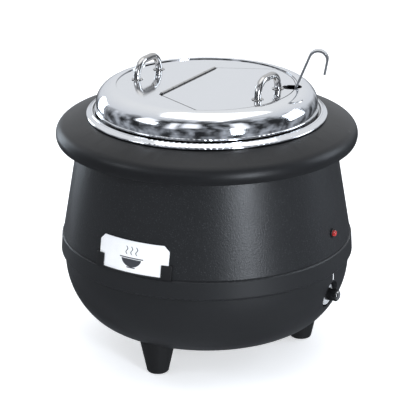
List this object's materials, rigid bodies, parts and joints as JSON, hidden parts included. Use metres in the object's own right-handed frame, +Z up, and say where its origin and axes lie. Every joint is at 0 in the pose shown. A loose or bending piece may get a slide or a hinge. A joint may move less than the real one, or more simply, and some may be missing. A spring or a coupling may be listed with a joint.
{
  "type": "electric soup kettle",
  "caption": "Round black electric soup kettle with lift-out steel pot, lift-off lid with half flap, loop handles, ladle, temperature knob, pilot lamp, label card and short feet.",
  "frame": {"origin": "on the table, under the middle of the pot", "axes": "+Z up, -Y towards the label, +X towards the temperature knob"},
  "size_m": [0.34, 0.34, 0.352],
  "materials": {
    "housing_paint": "fine textured black powder coat",
    "collar_plastic": "smooth satin black moulding",
    "black_plastic": "matte black moulding",
    "polished_steel": "mirror-polished stainless steel",
    "plain_steel": "plain stainless or zinc-plated steel",
    "spreader_aluminium": "mill finish",
    "heater_sheath": "heat-tinted metal sheath",
    "pale_ceramic": "unglazed pale ceramic",
    "grey_plastic": "moulded thermoset",
    "copper_bulb": "plain copper tube",
    "lead_insulation": "heat-proof lead insulation",
    "red_lens": "clear red lens",
    "white_card": null,
    "dial_metal": "satin metal",
    "knob_plastic": "black, finely ribbed"
  },
  "bodies": {
    "housing": {"rim_collar": "collar_plastic", "upper_shell": "housing_paint", "bowl_floor": "housing_paint", "bowl_side": "housing_paint", "bowl_belt": "housing_paint", "base_plate": "housing_paint", "foot_front": "black_plastic", "foot_right": "black_plastic", "foot_left": "black_plastic", "foot_screws": "plain_steel", "tank_floor": "plain_steel", "tank_side": "plain_steel", "clamp_stud": "plain_steel", "clamp_washer": "plain_steel", "clamp_nut": "plain_steel", "heat_spreader": "spreader_aluminium", "heating_element": "heater_sheath", "element_clips": "spreader_aluminium", "thermal_limiter": "pale_ceramic", "thermostat_body": "grey_plastic", "thermostat_nut": "plain_steel", "thermostat_bulb": "copper_bulb", "terminal_block": "pale_ceramic", "wiring": "lead_insulation", "cable_gland": "black_plastic", "gland_nut": "black_plastic", "pilot_lamp_body": "black_plastic", "pilot_lamp_lens": "red_lens", "pilot_lamp_nut": "plain_steel", "label_holder": "black_plastic"},
    "knob_set": {"spindle": "plain_steel", "dial_skirt": "dial_metal", "knob": "knob_plastic", "knob_cap": "dial_metal"},
    "card": {"label_card": "white_card"},
    "pot": {"pot_floor": "polished_steel", "pot_side": "polished_steel", "pot_rim": "polished_steel"},
    "lid": {"lid_shell": "polished_steel", "hinge_leaf_lid": "polished_steel", "hinge_pin": "polished_steel", "lid_handle": "polished_steel", "lid_handle_washers": "polished_steel", "lid_handle_nuts": "polished_steel"},
    "flap": {"lid_flap": "polished_steel", "hinge_leaf_flap": "polished_steel", "flap_handle": "polished_steel", "flap_handle_washers": "polished_steel", "flap_handle_nuts": "polished_steel"},
    "ladle": {"ladle_bowl": "polished_steel", "ladle_handle": "polished_steel"}
  },
  "joints": [
    {"name": "knob_turn", "type": "hinge", "parent": "housing", "child": "knob_set", "pos_m": [0.15, 0, 0.08647], "axis": [1, 0, 0], "range_deg": [0, 270]},
    {"name": "card_slide", "type": "slide", "parent": "housing", "child": "card", "axis": [0, 0.1691, 0.9856], "range_m": [0, 0.03]},
    {"name": "pot_lift", "type": "slide", "parent": "housing", "child": "pot", "axis": [0, 0, 1], "range_m": [0, 0.23]},
    {"name": "lid_lift", "type": "slide", "parent": "pot", "child": "lid", "axis": [0, 0, 1], "range_m": [0, 0.24]},
    {"name": "flap_hinge", "type": "hinge", "parent": "lid", "child": "flap", "pos_m": [-0.0236, 0, 0.3079], "axis": [0, -1, 0], "range_deg": [0, 140]},
    {"name": "ladle_slide", "type": "slide", "parent": "lid", "child": "ladle", "axis": [0.3458, 0.1397, 0.9278], "range_m": [0, 0.1]}
  ]
}
